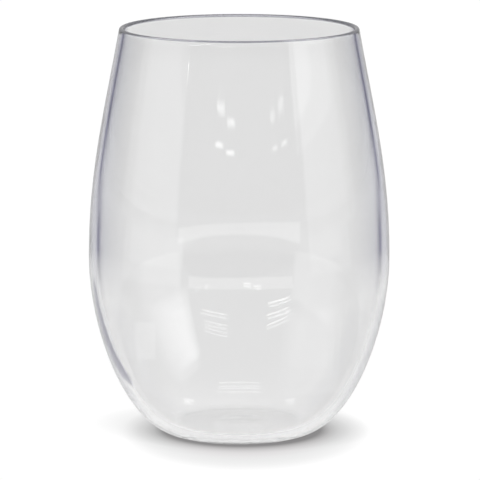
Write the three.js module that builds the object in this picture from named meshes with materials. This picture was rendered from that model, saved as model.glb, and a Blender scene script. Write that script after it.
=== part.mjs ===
// Stemless drinking tumbler in clear plastic: one egg-shaped moulding that narrows from belly to mouth.
// Millimetres, +Z up, origin at the centre of the foot on the surface that the tumbler stands on.
import * as THREE from "three";

// Outside
const HEIGHT = 121;
const RIM_DIAMETER = 70.7; // at the outer edge, where the lip starts to round over
const RIM_LEAN = 10.3; // degrees that the wall leans inwards at the lip
const BELLY_DIAMETER = 89;
const BELLY_HEIGHT = 52.7; // where the wall is upright
const FOOT_DIAMETER = 35.4; // outer edge of the flat ring that the tumbler stands on

// How far each outline curve keeps its direction at its two ends
const HEEL_REACH = 15.4; // level, out from the foot
const BELLY_DROP = 22.3; // upright, down from the belly
const BELLY_RISE = 25.6; // upright, up from the belly
const RIM_DROP = 24.8; // along the lean, down from the lip

// Plastic, which is thickest at the floor and thinnest at the lip
const FLOOR_THICKNESS = 3;
const BELLY_WALL = 2.6;
const RIM_WALL = 1.6;

// Underside
const FOOT_RING_WIDTH = 4.7;
const PUNT_DEPTH = 0.3; // shallow dome inside the ring, so that the tumbler doesn't rock

// Facets
const SIDES = 64;
const HEEL_STEPS = 11;
const WALL_STEPS = 12;
const LIP_STEPS = 6;
const PUNT_STEPS = 5;

const CLEAR_PLASTIC = new THREE.MeshStandardMaterial({
  color: 0xe4e4ec,
  roughness: 0.06,
  metalness: 0,
  transparent: true,
  opacity: 0.3,
});

const point = (radius, height) => new THREE.Vector2(radius, height);

// The outside from the foot to the belly: it leaves the table level and arrives upright.
function heelCurve() {
  const foot = point(FOOT_DIAMETER / 2, 0);
  const belly = point(BELLY_DIAMETER / 2, BELLY_HEIGHT);
  return new THREE.CubicBezierCurve(
    foot,
    foot.clone().add(point(HEEL_REACH, 0)),
    belly.clone().sub(point(0, BELLY_DROP)),
    belly,
  );
}

// The outside from the belly to the lip: it leaves upright and arrives at the rim's lean.
// The half-round lip stands on its end, and the crest of the lip is at the full height.
function wallCurve() {
  const lean = THREE.MathUtils.degToRad(RIM_LEAN);
  const belly = point(BELLY_DIAMETER / 2, BELLY_HEIGHT);
  const rim = point(RIM_DIAMETER / 2, HEIGHT - (RIM_WALL / 2) * (1 - Math.sin(lean)));
  const upTheWall = point(-Math.sin(lean), Math.cos(lean));
  return new THREE.CubicBezierCurve(
    belly,
    belly.clone().add(point(0, BELLY_RISE)),
    rim.clone().addScaledVector(upTheWall, -RIM_DROP),
    rim,
  );
}

// Points on a curve, and the points behind them on the inner side of a wall whose thickness
// changes evenly from one end of the curve to the other.
function twoSides(curve, steps, wallAtStart, wallAtEnd) {
  const outer = [];
  const inner = [];
  for (let i = 0; i <= steps; i++) {
    const along = i / steps;
    const outside = curve.getPoint(along);
    const tangent = curve.getTangent(along);
    const inwards = point(-tangent.y, tangent.x);
    const thickness = THREE.MathUtils.lerp(wallAtStart, wallAtEnd, along);
    outer.push(outside);
    inner.push(outside.clone().addScaledVector(inwards, thickness));
  }
  return { outer, inner };
}

// Half circle over the end of the wall, without the two points that the wall already has.
function lip(outerEnd, innerEnd) {
  const centre = outerEnd.clone().add(innerEnd).divideScalar(2);
  const arm = outerEnd.clone().sub(centre);
  const points = [];
  for (let i = 1; i < LIP_STEPS; i++) {
    const turn = (Math.PI * i) / LIP_STEPS;
    points.push(arm.clone().rotateAround(point(0, 0), turn).add(centre));
  }
  return points;
}

// The underside from the axis out to the standing ring: a dome that is level at the axis and at the ring.
function punt() {
  const edge = FOOT_DIAMETER / 2 - FOOT_RING_WIDTH;
  const dome = new THREE.CubicBezierCurve(
    point(0, PUNT_DEPTH),
    point(edge / 2, PUNT_DEPTH),
    point(edge / 2, 0),
    point(edge, 0),
  );
  return dome.getPoints(PUNT_STEPS);
}

// The section of the moulding, from the middle of the underside round the lip to the middle of the floor.
function section() {
  const heel = twoSides(heelCurve(), HEEL_STEPS, FLOOR_THICKNESS, BELLY_WALL);
  const wall = twoSides(wallCurve(), WALL_STEPS, BELLY_WALL, RIM_WALL);
  const outside = [...heel.outer, ...wall.outer.slice(1)];
  const inside = [...heel.inner, ...wall.inner.slice(1)].reverse();
  return [
    ...punt(),
    ...outside,
    ...lip(outside.at(-1), inside[0]),
    ...inside,
    point(0, FLOOR_THICKNESS),
  ];
}

// The section turned about the axis, which the lathe has along Y.
function tumblerBody() {
  const geometry = new THREE.LatheGeometry(section(), SIDES);
  geometry.rotateX(Math.PI / 2);
  const mesh = new THREE.Mesh(geometry, CLEAR_PLASTIC);
  mesh.name = "tumbler_body";
  return mesh;
}

const tumbler = new THREE.Group();
tumbler.name = "tumbler";
tumbler.add(tumblerBody());

export default tumbler;
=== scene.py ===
"""Clear plastic stemless tumbler standing on a pale floor in soft studio light."""
import math

import bpy
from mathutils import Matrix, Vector


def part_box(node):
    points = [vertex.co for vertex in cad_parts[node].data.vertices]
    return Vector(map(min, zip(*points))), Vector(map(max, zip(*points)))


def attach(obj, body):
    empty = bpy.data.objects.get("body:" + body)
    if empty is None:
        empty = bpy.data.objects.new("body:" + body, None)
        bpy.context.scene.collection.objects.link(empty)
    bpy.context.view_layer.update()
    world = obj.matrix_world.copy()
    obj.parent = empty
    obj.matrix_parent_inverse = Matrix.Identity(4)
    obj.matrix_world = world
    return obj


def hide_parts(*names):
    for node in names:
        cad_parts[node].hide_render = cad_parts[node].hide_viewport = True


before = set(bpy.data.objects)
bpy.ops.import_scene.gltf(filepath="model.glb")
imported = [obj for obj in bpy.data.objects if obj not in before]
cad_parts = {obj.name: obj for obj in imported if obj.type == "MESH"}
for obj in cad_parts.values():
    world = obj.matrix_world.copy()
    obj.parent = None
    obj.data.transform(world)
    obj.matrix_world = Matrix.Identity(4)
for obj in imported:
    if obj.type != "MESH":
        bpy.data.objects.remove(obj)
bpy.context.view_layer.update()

# Sizes of the moulding, in metres
NODE = "tumbler_body"
low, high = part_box(NODE)
HEIGHT = 0.121
BELLY_RADIUS = (high.x - low.x) / 2
BELLY_HEIGHT = 0.0527
RIM_RADIUS = 0.03535
RIM_LEAN = math.radians(10.3)
FOOT_RADIUS = 0.0177
HEEL_REACH = 0.0154
BELLY_DROP = 0.0223
BELLY_RISE = 0.0256
RIM_DROP = 0.0248
FLOOR_THICKNESS = 0.003
BELLY_WALL = 0.0026
RIM_WALL = 0.0016
FOOT_RING_WIDTH = 0.0047
PUNT_DEPTH = 0.0001

# Mesh density, and how many rows at each end of the lip keep the wall's material
SIDES = 256
HEEL_STEPS = 60
WALL_STEPS = 70
LIP_STEPS = 20
LIP_SHOULDER = 1
PUNT_STEPS = 12
FLOOR_STEPS = 6

# Places of the materials for the inside and the lip, after the one for the outside
INSIDE_MATERIAL = 1
LIP_MATERIAL = 2

# Plastic: painted edge shade and the lip's grey as (facing, colour), facing 0 square on and 1 edge on, each
# with its (height, share)
IOR = 1.57
FACING_BLEND = 0.5
CLEAR = (0.985, 0.985, 0.985)
HEEL_EDGE_SHADE = [
    (0.0, CLEAR), (0.34, CLEAR), (0.43, (0.9, 0.9, 0.91)), (0.54, (0.9, 0.9, 0.91)), (0.64, CLEAR),
    (0.68, CLEAR), (0.74, (0.8, 0.8, 0.83)), (0.8, (0.62, 0.62, 0.66)), (0.86, (0.5, 0.5, 0.55)),
    (0.92, (0.8, 0.8, 0.83)), (1.0, CLEAR)]
HEEL_HEIGHTS = [(0.006, 0.0), (0.014, 1.0), (0.04, 1.0), (0.046, 0.0)]
BELLY_EDGE_SHADE = [
    (0.0, CLEAR), (0.2, (0.955, 0.955, 0.955)), (0.33, (0.85, 0.85, 0.855)), (0.4, (0.76, 0.76, 0.775)),
    (0.48, (0.64, 0.645, 0.675)), (0.56, (0.515, 0.525, 0.58)), (0.6, (0.45, 0.45, 0.51)),
    (0.63, (0.2, 0.2, 0.28)), (0.65, (0.04, 0.04, 0.1)), (0.67, (0.04, 0.04, 0.1)),
    (0.7, (0.34, 0.34, 0.44)), (0.73, (0.5, 0.5, 0.6)), (1.0, (0.53, 0.53, 0.63))]
BELLY_HEIGHTS = [(0.0435, 0.0), (0.0575, 1.0)]
WALL_EDGE_SHADE = [
    (0.0, CLEAR), (0.2, (0.96, 0.96, 0.96)), (0.33, (0.89, 0.89, 0.89)), (0.4, (0.83, 0.83, 0.84)),
    (0.48, (0.735, 0.74, 0.765)), (0.56, (0.66, 0.67, 0.72)), (0.63, (0.595, 0.605, 0.68)),
    (0.665, (0.36, 0.36, 0.46)), (0.69, (0.035, 0.035, 0.09)), (0.715, (0.035, 0.035, 0.09)),
    (0.74, (0.28, 0.28, 0.39)), (0.775, (0.5, 0.5, 0.61)), (1.0, (0.58, 0.58, 0.69))]
WALL_HEIGHTS = [(0.064, 0.0), (0.08, 1.0)]
OUTER_EDGE_SHADES = [(HEEL_EDGE_SHADE, HEEL_HEIGHTS), (BELLY_EDGE_SHADE, BELLY_HEIGHTS), (WALL_EDGE_SHADE, WALL_HEIGHTS)]
INNER_EDGE_SHADE = [
    (0.0, CLEAR), (0.72, CLEAR), (0.82, (0.7, 0.695, 0.74)), (0.9, (0.35, 0.345, 0.41)),
    (1.0, (0.05, 0.05, 0.08))]
INNER_HEIGHTS = [(0.028, 0.0), (0.052, 1.0)]
# The lip is greyer all round and lets less light through
LIP_GREY = [(0.0, (0.42, 0.42, 0.48)), (1.0, (0.52, 0.52, 0.58))]
LIP_HEIGHTS = [(0.0, 1.0)]
LIP_OPAQUE_SHARE = 0.35
RIPPLE_SCALE = 55.0
RIPPLE_DETAIL = 1.0
RIPPLE_DEPTH = 0.00002
WEAR_SCALE = 220.0
WEAR_DETAIL = 3.0
WEAR_ROUGHNESS = (0.01, 0.05)

# Camera, and how often a ray may bounce
CAMERA_DISTANCE = 1.24
CAMERA_HEIGHT = 0.2643
AIM = Vector((0.00024, 0.0, 0.05765))
FRAME_PIXELS = 480
FOCAL_PIXELS = 4247
SENSOR = 36.0
CLIP_START = 0.05
CLIP_END = 50
MOST_BOUNCES = 32
GLOSSY_BOUNCES = 24

# Floor: ovals as centre, turn, stretch and (radius, level); the lens sees painted shadows, other rays
# painted shade
FLOOR_GAP = 0.0001
FLOOR_SIZE = 12.0
PAPER = 0.8
PAPER_ROUGHNESS = 0.9
SHADOW_REACH = 0.06
# Painted shadows at the foot, which only the lens sees
SHADOWS = [
    ((0.0008, 0.002, 0), 0, (1, 1, 1),
     [(0.0234, 0.41), (0.025, 0.6), (0.0265, 0.74), (0.029, 0.86), (0.033, 0.96), (0.038, 1.0)]),
    ((0.002, 0, 0), 0, (0.67, 1, 1),
     [(0.025, (0.72, 0.705, 0.71)), (0.031, (0.78, 0.765, 0.77)), (0.0355, (0.81, 0.8, 0.803)),
      (0.04, 0.84), (0.044, 0.87), (0.048, 0.91), (0.055, 1.02)]),
    ((-0.002, 0.008, 0), -20, (1, 0.8, 1),
     [(0.022, 0.8), (0.03, 0.85), (0.036, 0.91), (0.044, 1.0)]),
]
# Painted shade on the paper for other rays: darker round the foot and beyond about 0.8 m
SHADES = [
    ((0, 0, 0), 0, (1, 1, 1), [(0.014, 0.955), (0.018, 0.91), (0.021, 0.94), (0.027, 1.0)]),
    ((0, 0, 0), 0, (20, 20, 1), [(0.039, 1.0), (0.0425, 0.95)]),
]

# Sky as (height, level), and the light overhead
SKY = [(0.0, 0.49), (0.3, 0.5), (0.45, 0.53), (1.0, 0.58)]
OVERHEAD_PLACE = (0, -0.4, 2.0)
OVERHEAD_SIZE = (4.0, 5.0)
OVERHEAD_POWER = 28.1
OVERHEAD_SPREAD = math.radians(40)

# Dark sheets on the floor, a painted dark reflection in front and a painted shadow by the heel, with
# corners as (azimuth, distance), where azimuth 0 is the camera's side
CARD_LIFT = 0.0005
FRONT_REFLECTION_CORNERS = [
    (-42, 0.74), (-39, 0.41), (-30, 0.365), (-15, 0.36), (0, 0.38), (15, 0.39), (25, 0.41), (42, 0.52),
    (46, 0.98), (29, 1.84), (6, 3.0), (-6, 3.0), (-27, 1.8)]
FRONT_REFLECTION_COLOUR = (0.4, 0.4, 0.4, 1)
HEEL_SHADOW_CORNERS = [
    (-98, 0.0555), (-99, 0.0495), (-145, 0.11), (-152, 0.182), (-155, 0.221), (-147, 0.239), (-141, 0.192),
    (-128, 0.112)]
HEEL_SHADOW_COLOUR = (0.28, 0.28, 0.34, 1)

# How much nearer than the axis a ray starts, for one that grazes the wall and one that leaves it squarely
SQUARE_ON = (0.01, 0.025)

# Bright arch in front, as (azimuth, distance, bottom, top)
ARCH = [
    (-46, 0.78, 0.01, 0.05), (-30, 1.1, 0.02, 0.065), (-15, 1.36, 0.03, 0.078), (0, 1.45, 0.033, 0.085),
    (15, 1.36, 0.03, 0.082), (30, 1.1, 0.02, 0.075), (46, 0.78, 0.01, 0.065)]
ARCH_LEVEL = 1.1

# Painted light on the floor, seen in reflections off the outside, as name, first and last azimuth, near and
# far distance, and level
FLOOR_GLOWS = [
    ("left_floor_glow", -95, -42, 0.27, 1.3, 0.4),
    ("left_floor_glow_far", -88, -42, 0.42, 1.3, 0.4),
    ("right_floor_glow", 53, 90, 0.36, 1.3, 0.4),
    ("right_floor_glow_far", 53, 82, 0.5, 1.3, 0.4),
    ("lens_glow", -36, 38, 0.25, 0.37, 1.15),
    ("left_heel_glow", -78, -59, 0.07, 0.115, 0.65),
    ("right_heel_glow", 28, 76, 0.045, 0.15, 0.3),
    ("right_heel_glow_middle", 33, 69, 0.054, 0.135, 0.3),
    ("right_heel_glow_core", 38, 63, 0.063, 0.12, 0.25),
]
FLOOR_GLOW_STEPS = 12
FLOOR_GLOW_LIFT = 0.0002

# Upright sheets of light that face the tumbler, painted reflections, as name, azimuth, distance, height,
# size and level
SOFTBOXES = [
    ("left_softbox", -75, 1.3, 0.2, (1.3, 0.4), 0.3),
    ("left_softbox_core", -70.3, 1.306, 0.2, (1.05, 0.4), 0.3),
    ("right_softbox", 77, 1.3, 0.7, (1.15, 1.4), 0.3),
    ("right_softbox_core", 73.1, 1.304, 0.7, (0.95, 1.4), 0.3),
    ("right_key", 67, 1.25, 0.7, (0.9, 0.82), 0.5),
    ("key_middle", 62, 1.24, 0.7, (0.64, 0.72), 0.45),
    ("key_core", 57.5, 1.23, 0.7, (0.44, 0.56), 0.45),
]
SPOTS = [
    ("left_corner_lamp", -142, 1.3, 1.5, (0.32, 0.34), 2.0),
    ("right_corner_lamp", 142, 1.3, 1.5, (0.32, 0.34), 2.6),
    ("left_glint", -16, 1.4, 0.374, (0.16, 0.014), 4.5),
    ("middle_glint", -7, 1.4, 0.357, (0.16, 0.014), 4.5),
    ("right_glint", 37, 1.4, 0.355, (0.12, 0.012), 3.0),
    ("low_glint", 29, 1.4, 0.352, (0.1, 0.014), 3.0),
]

# Level tubes in front, painted reflections in two stacks, as name, x, heights, size and level
TUBE_DEPTH = -1.4
TUBE_STACKS = [
    ("left_tube", -1.14, (0.58, 0.72, 0.86), (0.8, 0.018), 6.5),
    ("right_tube", 0.66, (0.68, 0.82, 0.93), (0.72, 0.016), 4.5),
]

# Bent tubes under the ceiling, painted reflections, by their depth at x = 0
CEILING_TUBES = (-0.74, -0.4)
CEILING_REACH = (-0.6, -0.3, 0.0, 0.3, 0.6)
CEILING_BEND = 0.3
CEILING_WIDTH = 0.07
CEILING_HEIGHT = 2.0
CEILING_LEVEL = 2.2


def bezier(points, steps):
    """Points and unit tangents along a cubic curve."""
    a, b, c, d = (Vector(p) for p in points)
    made = []
    for i in range(steps + 1):
        t = i / steps
        s = 1 - t
        place = a * s**3 + b * (3 * s * s * t) + c * (3 * s * t * t) + d * t**3
        slope = (b - a) * (s * s) + (c - b) * (2 * s * t) + (d - c) * (t * t)
        made.append((place, slope.normalized()))
    return made


def two_sides(curve, wall_at_start, wall_at_end):
    """The outer points of a curve and the inner points behind them."""
    outer, inner = [], []
    for i, (place, tangent) in enumerate(curve):
        share = i / (len(curve) - 1)
        wall = wall_at_start + (wall_at_end - wall_at_start) * share
        outer.append(place)
        inner.append(place + Vector((-tangent.y, tangent.x)) * wall)
    return outer, inner


def heel_curve():
    """The outside from the foot up to the belly."""
    return bezier(
        [(FOOT_RADIUS, 0), (FOOT_RADIUS + HEEL_REACH, 0),
         (BELLY_RADIUS, BELLY_HEIGHT - BELLY_DROP), (BELLY_RADIUS, BELLY_HEIGHT)],
        HEEL_STEPS,
    )


def wall_curve():
    """The outside from the belly up to the lip."""
    lean_x, lean_z = math.sin(RIM_LEAN), math.cos(RIM_LEAN)
    rim_z = HEIGHT - RIM_WALL / 2 * (1 - lean_x)
    return bezier(
        [(BELLY_RADIUS, BELLY_HEIGHT), (BELLY_RADIUS, BELLY_HEIGHT + BELLY_RISE),
         (RIM_RADIUS + lean_x * RIM_DROP, rim_z - lean_z * RIM_DROP), (RIM_RADIUS, rim_z)],
        WALL_STEPS,
    )


def lip(outer_end, inner_end):
    """Half circle over the end of the wall, without its two ends."""
    centre = (outer_end + inner_end) / 2
    arm = outer_end - centre
    made = []
    for i in range(1, LIP_STEPS):
        turn = math.pi * i / LIP_STEPS
        c, s = math.cos(turn), math.sin(turn)
        made.append(centre + Vector((arm.x * c - arm.y * s, arm.x * s + arm.y * c)))
    return made


def punt():
    """The underside from the axis out to the standing ring."""
    edge = FOOT_RADIUS - FOOT_RING_WIDTH
    dome = [(0, PUNT_DEPTH), (edge / 2, PUNT_DEPTH), (edge / 2, 0), (edge, 0)]
    return [place for place, tangent in bezier(dome, PUNT_STEPS)]


def section():
    """Radius and height round the section, from the middle of the underside to the middle of the floor."""
    heel_out, heel_in = two_sides(heel_curve(), FLOOR_THICKNESS, BELLY_WALL)
    wall_out, wall_in = two_sides(wall_curve(), BELLY_WALL, RIM_WALL)
    inside = list(reversed(heel_in + wall_in[1:]))
    floor = []
    for i in range(1, FLOOR_STEPS + 1):
        floor.append(Vector((FOOT_RADIUS * (1 - i / FLOOR_STEPS), FLOOR_THICKNESS)))
    return punt() + heel_out + wall_out[1:] + lip(wall_out[-1], wall_in[-1]) + inside + floor


def lathe(name, outline):
    """A closed mesh from an outline whose two ends lie on the axis."""
    rings = outline[1:-1]
    verts = [(0, 0, outline[0].y)]
    for p in rings:
        for k in range(SIDES):
            turn = 2 * math.pi * k / SIDES
            verts.append((p.x * math.cos(turn), p.x * math.sin(turn), p.y))
    verts.append((0, 0, outline[-1].y))
    last = len(verts) - 1
    faces = []
    for k in range(SIDES):
        n = (k + 1) % SIDES
        faces.append((0, 1 + n, 1 + k))
        for j in range(len(rings) - 1):
            a, b = 1 + j * SIDES, 1 + (j + 1) * SIDES
            faces.append((a + k, a + n, b + n, b + k))
        top = 1 + (len(rings) - 1) * SIDES
        faces.append((top + k, top + n, last))
    mesh = bpy.data.meshes.new(name)
    mesh.from_pydata(verts, [], faces)
    mesh.polygons.foreach_set("use_smooth", [True] * len(mesh.polygons))
    mesh.update()
    made = bpy.data.objects.new(name, mesh)
    bpy.context.scene.collection.objects.link(made)
    return made


def new_material(name):
    """A new material, with its nodes and its links."""
    material = bpy.data.materials.new(name)
    material.use_nodes = True
    return material, material.node_tree.nodes, material.node_tree.links


def ramp(nodes, stops):
    """A colour ramp from (place, level or colour) stops."""
    made = nodes.new("ShaderNodeValToRGB")
    elements = made.color_ramp.elements
    while len(elements) < len(stops):
        elements.new(0.5)
    for element, (place, colour) in zip(elements, stops):
        element.position = place
        element.color = (*colour, 1) if isinstance(colour, tuple) else (colour, colour, colour, 1)
    return made


def mix_colours(nodes, links, blend, factor, first, second):
    """A mix of two colours; each of the three inputs is a socket or a value."""
    made = nodes.new("ShaderNodeMix")
    made.data_type = "RGBA"
    made.blend_type = blend
    factor_socket, first_socket, second_socket = made.inputs[0], made.inputs[6], made.inputs[7]
    for socket, given in ((factor_socket, factor), (first_socket, first), (second_socket, second)):
        if isinstance(given, bpy.types.NodeSocket):
            links.new(given, socket)
        else:
            socket.default_value = given
    colour_socket = made.outputs[2]
    return colour_socket


def noise(nodes, links, place, scale, detail):
    """Noise over a place."""
    made = nodes.new("ShaderNodeTexNoise")
    made.inputs["Scale"].default_value = scale
    made.inputs["Detail"].default_value = detail
    links.new(place, made.inputs["Vector"])
    return made.outputs["Fac"]


def share_of(nodes, links, value, whole):
    """A value as a share of a whole."""
    made = nodes.new("ShaderNodeMath")
    made.operation = "DIVIDE"
    made.inputs[1].default_value = whole
    links.new(value, made.inputs[0])
    return made.outputs["Value"]


def length_of(nodes, links, vector):
    """The length of a vector."""
    made = nodes.new("ShaderNodeVectorMath")
    made.operation = "LENGTH"
    links.new(vector, made.inputs[0])
    return made.outputs["Value"]


def clear_plastic(name, edge_shades_and_greys, opaque_share=0.0):
    """Clear moulded plastic with painted shade, dark cool lines where the surface turns away, faint ripples
    and fine wear.
    """
    material, nodes, links = new_material(name)
    shader = nodes["Principled BSDF"]
    shader.inputs["IOR"].default_value = IOR
    shader.inputs["Transmission Weight"].default_value = 1.0 - opaque_share
    place = nodes.new("ShaderNodeTexCoord").outputs["Object"]

    # Painted shade: the base colour darkens to cool grey lines where the surface turns away
    facing = nodes.new("ShaderNodeLayerWeight")
    facing.inputs["Blend"].default_value = FACING_BLEND
    parts = nodes.new("ShaderNodeSeparateXYZ")
    links.new(place, parts.inputs["Vector"])
    height = share_of(nodes, links, parts.outputs["Z"], HEIGHT)
    colour = (*CLEAR, 1)
    for stops, heights in edge_shades_and_greys:
        edge_shade_and_grey = ramp(nodes, stops)
        links.new(facing.outputs["Facing"], edge_shade_and_grey.inputs["Fac"])
        strength = ramp(nodes, [(z / HEIGHT, share) for z, share in heights])
        links.new(height, strength.inputs["Fac"])
        colour = mix_colours(nodes, links, "MIX", strength.outputs["Color"], colour, edge_shade_and_grey.outputs["Color"])
    links.new(colour, shader.inputs["Base Color"])

    wear = nodes.new("ShaderNodeMapRange")
    wear.inputs["To Min"].default_value, wear.inputs["To Max"].default_value = WEAR_ROUGHNESS
    links.new(noise(nodes, links, place, WEAR_SCALE, WEAR_DETAIL), wear.inputs["Value"])
    links.new(wear.outputs["Result"], shader.inputs["Roughness"])

    ripple = nodes.new("ShaderNodeBump")
    ripple.inputs["Distance"].default_value = RIPPLE_DEPTH
    links.new(noise(nodes, links, place, RIPPLE_SCALE, RIPPLE_DETAIL), ripple.inputs["Height"])
    links.new(ripple.outputs["Normal"], shader.inputs["Normal"])
    return material


def make_tumbler():
    """The moulding, with materials for its outside, its inside and its lip."""
    made = lathe("tumbler", section())
    # The outside and the inside carry painted shade along their outlines
    made.data.materials.append(clear_plastic("clear_plastic", OUTER_EDGE_SHADES))
    made.data.materials.append(clear_plastic("clear_plastic_inside", [(INNER_EDGE_SHADE, INNER_HEIGHTS)]))
    made.data.materials.append(clear_plastic("clear_plastic_lip", [(LIP_GREY, LIP_HEIGHTS)], LIP_OPAQUE_SHARE))
    lip_row = PUNT_STEPS + HEEL_STEPS + WALL_STEPS
    inside_row = lip_row + LIP_STEPS
    for face in made.data.polygons:
        row = min((v - 1) // SIDES for v in face.vertices)
        if row >= inside_row:
            face.material_index = INSIDE_MATERIAL
        elif lip_row + LIP_SHOULDER <= row < inside_row - LIP_SHOULDER:
            face.material_index = LIP_MATERIAL
    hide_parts(NODE)
    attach(made, "root")


def painted_shade_oval(nodes, links, centre, turn, stretch, stops):
    """Painted shade on the floor, by the distance from a centre, in an oval that is turned and stretched.
    """
    oval = nodes.new("ShaderNodeMapping")
    oval.vector_type = "TEXTURE"
    oval.inputs["Location"].default_value = centre
    oval.inputs["Rotation"].default_value = (0, 0, math.radians(turn))
    oval.inputs["Scale"].default_value = stretch
    links.new(nodes.new("ShaderNodeNewGeometry").outputs["Position"], oval.inputs["Vector"])
    away = length_of(nodes, links, oval.outputs["Vector"])
    level = ramp(nodes, [(radius / SHADOW_REACH, value) for radius, value in stops])
    links.new(share_of(nodes, links, away, SHADOW_REACH), level.inputs["Fac"])
    return level.outputs["Color"]


def matt(shader):
    """Makes a shader as dull as paper."""
    shader.inputs["Roughness"].default_value = PAPER_ROUGHNESS
    shader.inputs["Specular IOR Level"].default_value = 0.0


def pale_floor():
    """Pale paper, which the lens sees burnt out to white except in painted shadows at the foot; other rays
    see painted shade on it.
    """
    material, nodes, links = new_material("pale_floor")
    paper = nodes["Principled BSDF"]
    paper_with_painted_shade = (PAPER, PAPER, PAPER, 1)
    # Painted shade on the paper, round the foot and far away
    for oval in SHADES:
        paper_with_painted_shade = mix_colours(nodes, links, "MULTIPLY", 1.0, paper_with_painted_shade, painted_shade_oval(nodes, links, *oval))
    links.new(paper_with_painted_shade, paper.inputs["Base Color"])
    matt(paper)
    # Painted shadows at the foot, in the white that the lens sees
    level = (1, 1, 1, 1)
    for oval in SHADOWS:
        level = mix_colours(nodes, links, "MULTIPLY", 1.0, level, painted_shade_oval(nodes, links, *oval))
    white = nodes.new("ShaderNodeEmission")
    links.new(level, white.inputs["Color"])
    path = nodes.new("ShaderNodeLightPath")
    mix = nodes.new("ShaderNodeMixShader")
    links.new(path.outputs["Is Camera Ray"], mix.inputs[0])
    links.new(paper.outputs["BSDF"], mix.inputs[1])
    links.new(white.outputs["Emission"], mix.inputs[2])
    links.new(mix.outputs["Shader"], nodes["Material Output"].inputs["Surface"])
    return material


def make_floor():
    """A square floor just under the foot."""
    half = FLOOR_SIZE / 2
    corners = [(-half, -half), (half, -half), (half, half), (-half, half)]
    mesh = bpy.data.meshes.new("floor")
    mesh.from_pydata([(x, y, -FLOOR_GAP) for x, y in corners], [], [(0, 1, 2, 3)])
    mesh.materials.append(pale_floor())
    floor = bpy.data.objects.new("floor", mesh)
    bpy.context.scene.collection.objects.link(floor)


def around(azimuth, distance, height):
    """A place round the tumbler; azimuth 0 is the camera's side."""
    turn = math.radians(azimuth)
    return math.sin(turn) * distance, -math.cos(turn) * distance, height


def stage_sheet(name, material, verts, faces):
    """A sheet of the studio that neither the lens nor the floor sees."""
    mesh = bpy.data.meshes.new(name)
    mesh.from_pydata(verts, [], faces)
    mesh.materials.append(material)
    made = bpy.data.objects.new(name, mesh)
    bpy.context.scene.collection.objects.link(made)
    made.visible_camera = False
    made.visible_diffuse = False
    made.visible_shadow = False
    return made


def square_on(nodes, links, most):
    """From 0 for a ray that left the wall at a grazing angle to the most for one that left it squarely.

    A ray that leaves squarely starts nearer to the sheet than the axis is, a grazing one about as far away.
    """
    away = length_of(nodes, links, nodes.new("ShaderNodeNewGeometry").outputs["Position"])
    nearer = nodes.new("ShaderNodeMath")
    nearer.operation = "SUBTRACT"
    links.new(away, nearer.inputs[0])
    links.new(nodes.new("ShaderNodeLightPath").outputs["Ray Length"], nearer.inputs[1])
    share = nodes.new("ShaderNodeMapRange")
    share.inputs["From Min"].default_value, share.inputs["From Max"].default_value = SQUARE_ON
    share.inputs["To Max"].default_value = most
    links.new(nearer.outputs["Value"], share.inputs["Value"])
    return share.outputs["Result"]


def painted_dark_sheet(name, colour, corners, outside_only):
    """A dark sheet on the floor: a painted dark reflection off the outside, or a painted shadow seen inside
    the plastic alone.
    """
    material, nodes, links = new_material(name)
    paper = nodes["Principled BSDF"]
    paper.inputs["Base Color"].default_value = colour
    matt(paper)
    if outside_only:
        shown = square_on(nodes, links, 1.0)
    else:
        shown = nodes.new("ShaderNodeLightPath").outputs["Glossy Depth"]
    mix = nodes.new("ShaderNodeMixShader")
    links.new(shown, mix.inputs[0])
    links.new(nodes.new("ShaderNodeBsdfTransparent").outputs["BSDF"], mix.inputs[1])
    links.new(paper.outputs["BSDF"], mix.inputs[2])
    links.new(mix.outputs["Shader"], nodes["Material Output"].inputs["Surface"])
    verts = [around(azimuth, distance, CARD_LIFT) for azimuth, distance in corners]
    made = stage_sheet(name, material, verts, [range(len(corners))])
    made.visible_transmission = not outside_only
    made.visible_glossy = outside_only


def make_painted_dark_sheets():
    """The painted dark reflection in the front wall and the painted shadow in the left heel."""
    painted_dark_sheet("front_painted_reflection", FRONT_REFLECTION_COLOUR, FRONT_REFLECTION_CORNERS, True)
    painted_dark_sheet("heel_painted_shadow", HEEL_SHADOW_COLOUR, HEEL_SHADOW_CORNERS, False)


def glow_sheet(name, level, verts, faces, outside_only=False):
    """A sheet of light that shows in the plastic only, over whatever is behind it: a painted reflection."""
    material, nodes, links = new_material(name)
    material.cycles.emission_sampling = "NONE"
    glow = nodes.new("ShaderNodeEmission")
    glow.inputs["Strength"].default_value = level
    if outside_only:
        links.new(square_on(nodes, links, level), glow.inputs["Strength"])
    both = nodes.new("ShaderNodeAddShader")
    links.new(glow.outputs["Emission"], both.inputs[0])
    links.new(nodes.new("ShaderNodeBsdfTransparent").outputs["BSDF"], both.inputs[1])
    links.new(both.outputs["Shader"], nodes["Material Output"].inputs["Surface"])
    made = stage_sheet(name, material, verts, faces)
    made.visible_transmission = not outside_only


def strip_faces(pairs):
    """Faces of a strip whose points come in pairs across it."""
    return [(2 * i, 2 * i + 2, 2 * i + 3, 2 * i + 1) for i in range(pairs - 1)]


def bright_arch():
    """A low bright strip that bends round the front of the tumbler."""
    verts = []
    for azimuth, distance, bottom, top in ARCH:
        verts += [around(azimuth, distance, bottom), around(azimuth, distance, top)]
    glow_sheet("arch", ARCH_LEVEL, verts, strip_faces(len(ARCH)), True)


def make_world():
    """A pale studio, a little brighter overhead."""
    world = bpy.data.worlds.new("studio")
    world.use_nodes = True
    nodes, links = world.node_tree.nodes, world.node_tree.links
    parts = nodes.new("ShaderNodeSeparateXYZ")
    links.new(nodes.new("ShaderNodeTexCoord").outputs["Generated"], parts.inputs["Vector"])
    sky = ramp(nodes, SKY)
    links.new(parts.outputs["Z"], sky.inputs["Fac"])
    links.new(sky.outputs["Color"], nodes["Background"].inputs["Color"])
    bpy.context.scene.world = world


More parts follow.
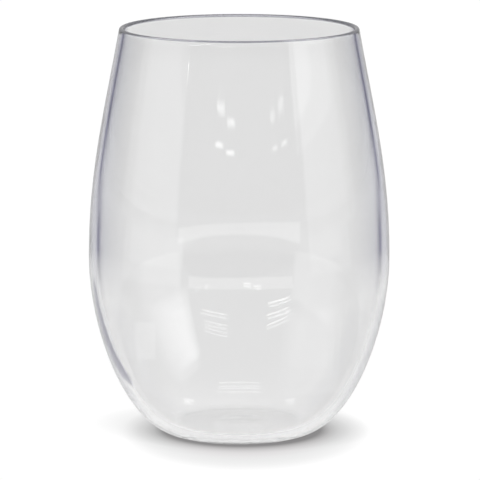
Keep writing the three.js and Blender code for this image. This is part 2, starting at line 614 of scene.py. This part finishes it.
def overhead_light():
    """Even light on the floor, which doesn't show in reflections."""
    light = bpy.data.lights.new("overhead", "AREA")
    light.shape = "RECTANGLE"
    light.size, light.size_y = OVERHEAD_SIZE
    light.energy = OVERHEAD_POWER
    light.spread = OVERHEAD_SPREAD
    light.use_shadow = False
    light.cycles.use_multiple_importance_sampling = False
    made = bpy.data.objects.new("overhead", light)
    bpy.context.scene.collection.objects.link(made)
    made.location = OVERHEAD_PLACE
    made.visible_camera = False
    made.visible_glossy = False
    made.visible_transmission = False


def floor_glows():
    """Painted light on the floor beside the tumbler and in front of it, for reflections off its outside."""
    for sheet, (name, start, end, near, far, level) in enumerate(FLOOR_GLOWS, 1):
        height = CARD_LIFT + sheet * FLOOR_GLOW_LIFT
        verts = []
        for i in range(FLOOR_GLOW_STEPS + 1):
            azimuth = start + (end - start) * i / FLOOR_GLOW_STEPS
            verts += [around(azimuth, near, height), around(azimuth, far, height)]
        glow_sheet(name, level, verts, strip_faces(FLOOR_GLOW_STEPS + 1), True)


def upright_glow(name, place, across, size, level):
    """An upright sheet of light round a place, a painted reflection."""
    width, height = size
    middle = Vector(place)
    right = across * width / 2
    up = Vector((0, 0, height / 2))
    corners = [middle - right - up, middle + right - up, middle + right + up, middle - right + up]
    glow_sheet(name, level, corners, [range(len(corners))])


def facing_glow(name, azimuth, distance, height, size, level):
    """An upright sheet of light that faces the tumbler, a painted reflection."""
    x, y, z = around(azimuth, distance, height)
    upright_glow(name, (x, y, z), Vector((-y, x, 0)).normalized(), size, level)


def tube_stacks():
    """Painted reflections of level tubes in front of the tumbler, one above another on the left and on the
    right.
    """
    for name, x, heights, size, level in TUBE_STACKS:
        for i, height in enumerate(heights):
            upright_glow(f"{name}_{i}", (x, TUBE_DEPTH, height), Vector((1, 0, 0)), size, level)


def ceiling_tubes():
    """Painted reflections of bent tubes under the ceiling, which show in the heel."""
    for i, depth in enumerate(CEILING_TUBES):
        verts = []
        for x in CEILING_REACH:
            y = depth + CEILING_BEND * x * x
            verts += [(x, y, CEILING_HEIGHT), (x, y + CEILING_WIDTH, CEILING_HEIGHT)]
        glow_sheet(f"ceiling_tube_{i}", CEILING_LEVEL, verts, strip_faces(len(CEILING_REACH)))


def make_lights():
    """One real light, and sheets of light that show in the plastic as painted reflections."""
    overhead_light()
    floor_glows()
    for box in SOFTBOXES:
        facing_glow(*box)
    tube_stacks()
    ceiling_tubes()
    for spot in SPOTS:
        facing_glow(*spot)


def make_camera():
    """The camera at the photograph's angle."""
    data = bpy.data.cameras.new("camera")
    data.sensor_width = SENSOR
    data.lens = SENSOR * FOCAL_PIXELS / FRAME_PIXELS
    data.clip_start, data.clip_end = CLIP_START, CLIP_END
    camera = bpy.data.objects.new("camera", data)
    bpy.context.scene.collection.objects.link(camera)
    camera.location = (0, -CAMERA_DISTANCE, CAMERA_HEIGHT)
    camera.rotation_euler = (AIM - camera.location).to_track_quat("-Z", "Y").to_euler()
    bpy.context.scene.camera = camera


def set_up_rays():
    """Enough bounces for light to pass through both walls, and colours shown as they are."""
    scene = bpy.context.scene
    scene.view_settings.view_transform = "Standard"
    scene.cycles.blur_glossy = 0.0
    scene.cycles.max_bounces = MOST_BOUNCES
    scene.cycles.glossy_bounces = GLOSSY_BOUNCES
    scene.cycles.transmission_bounces = MOST_BOUNCES


make_camera()
make_tumbler()
make_floor()
make_painted_dark_sheets()
bright_arch()
make_world()
make_lights()
set_up_rays()
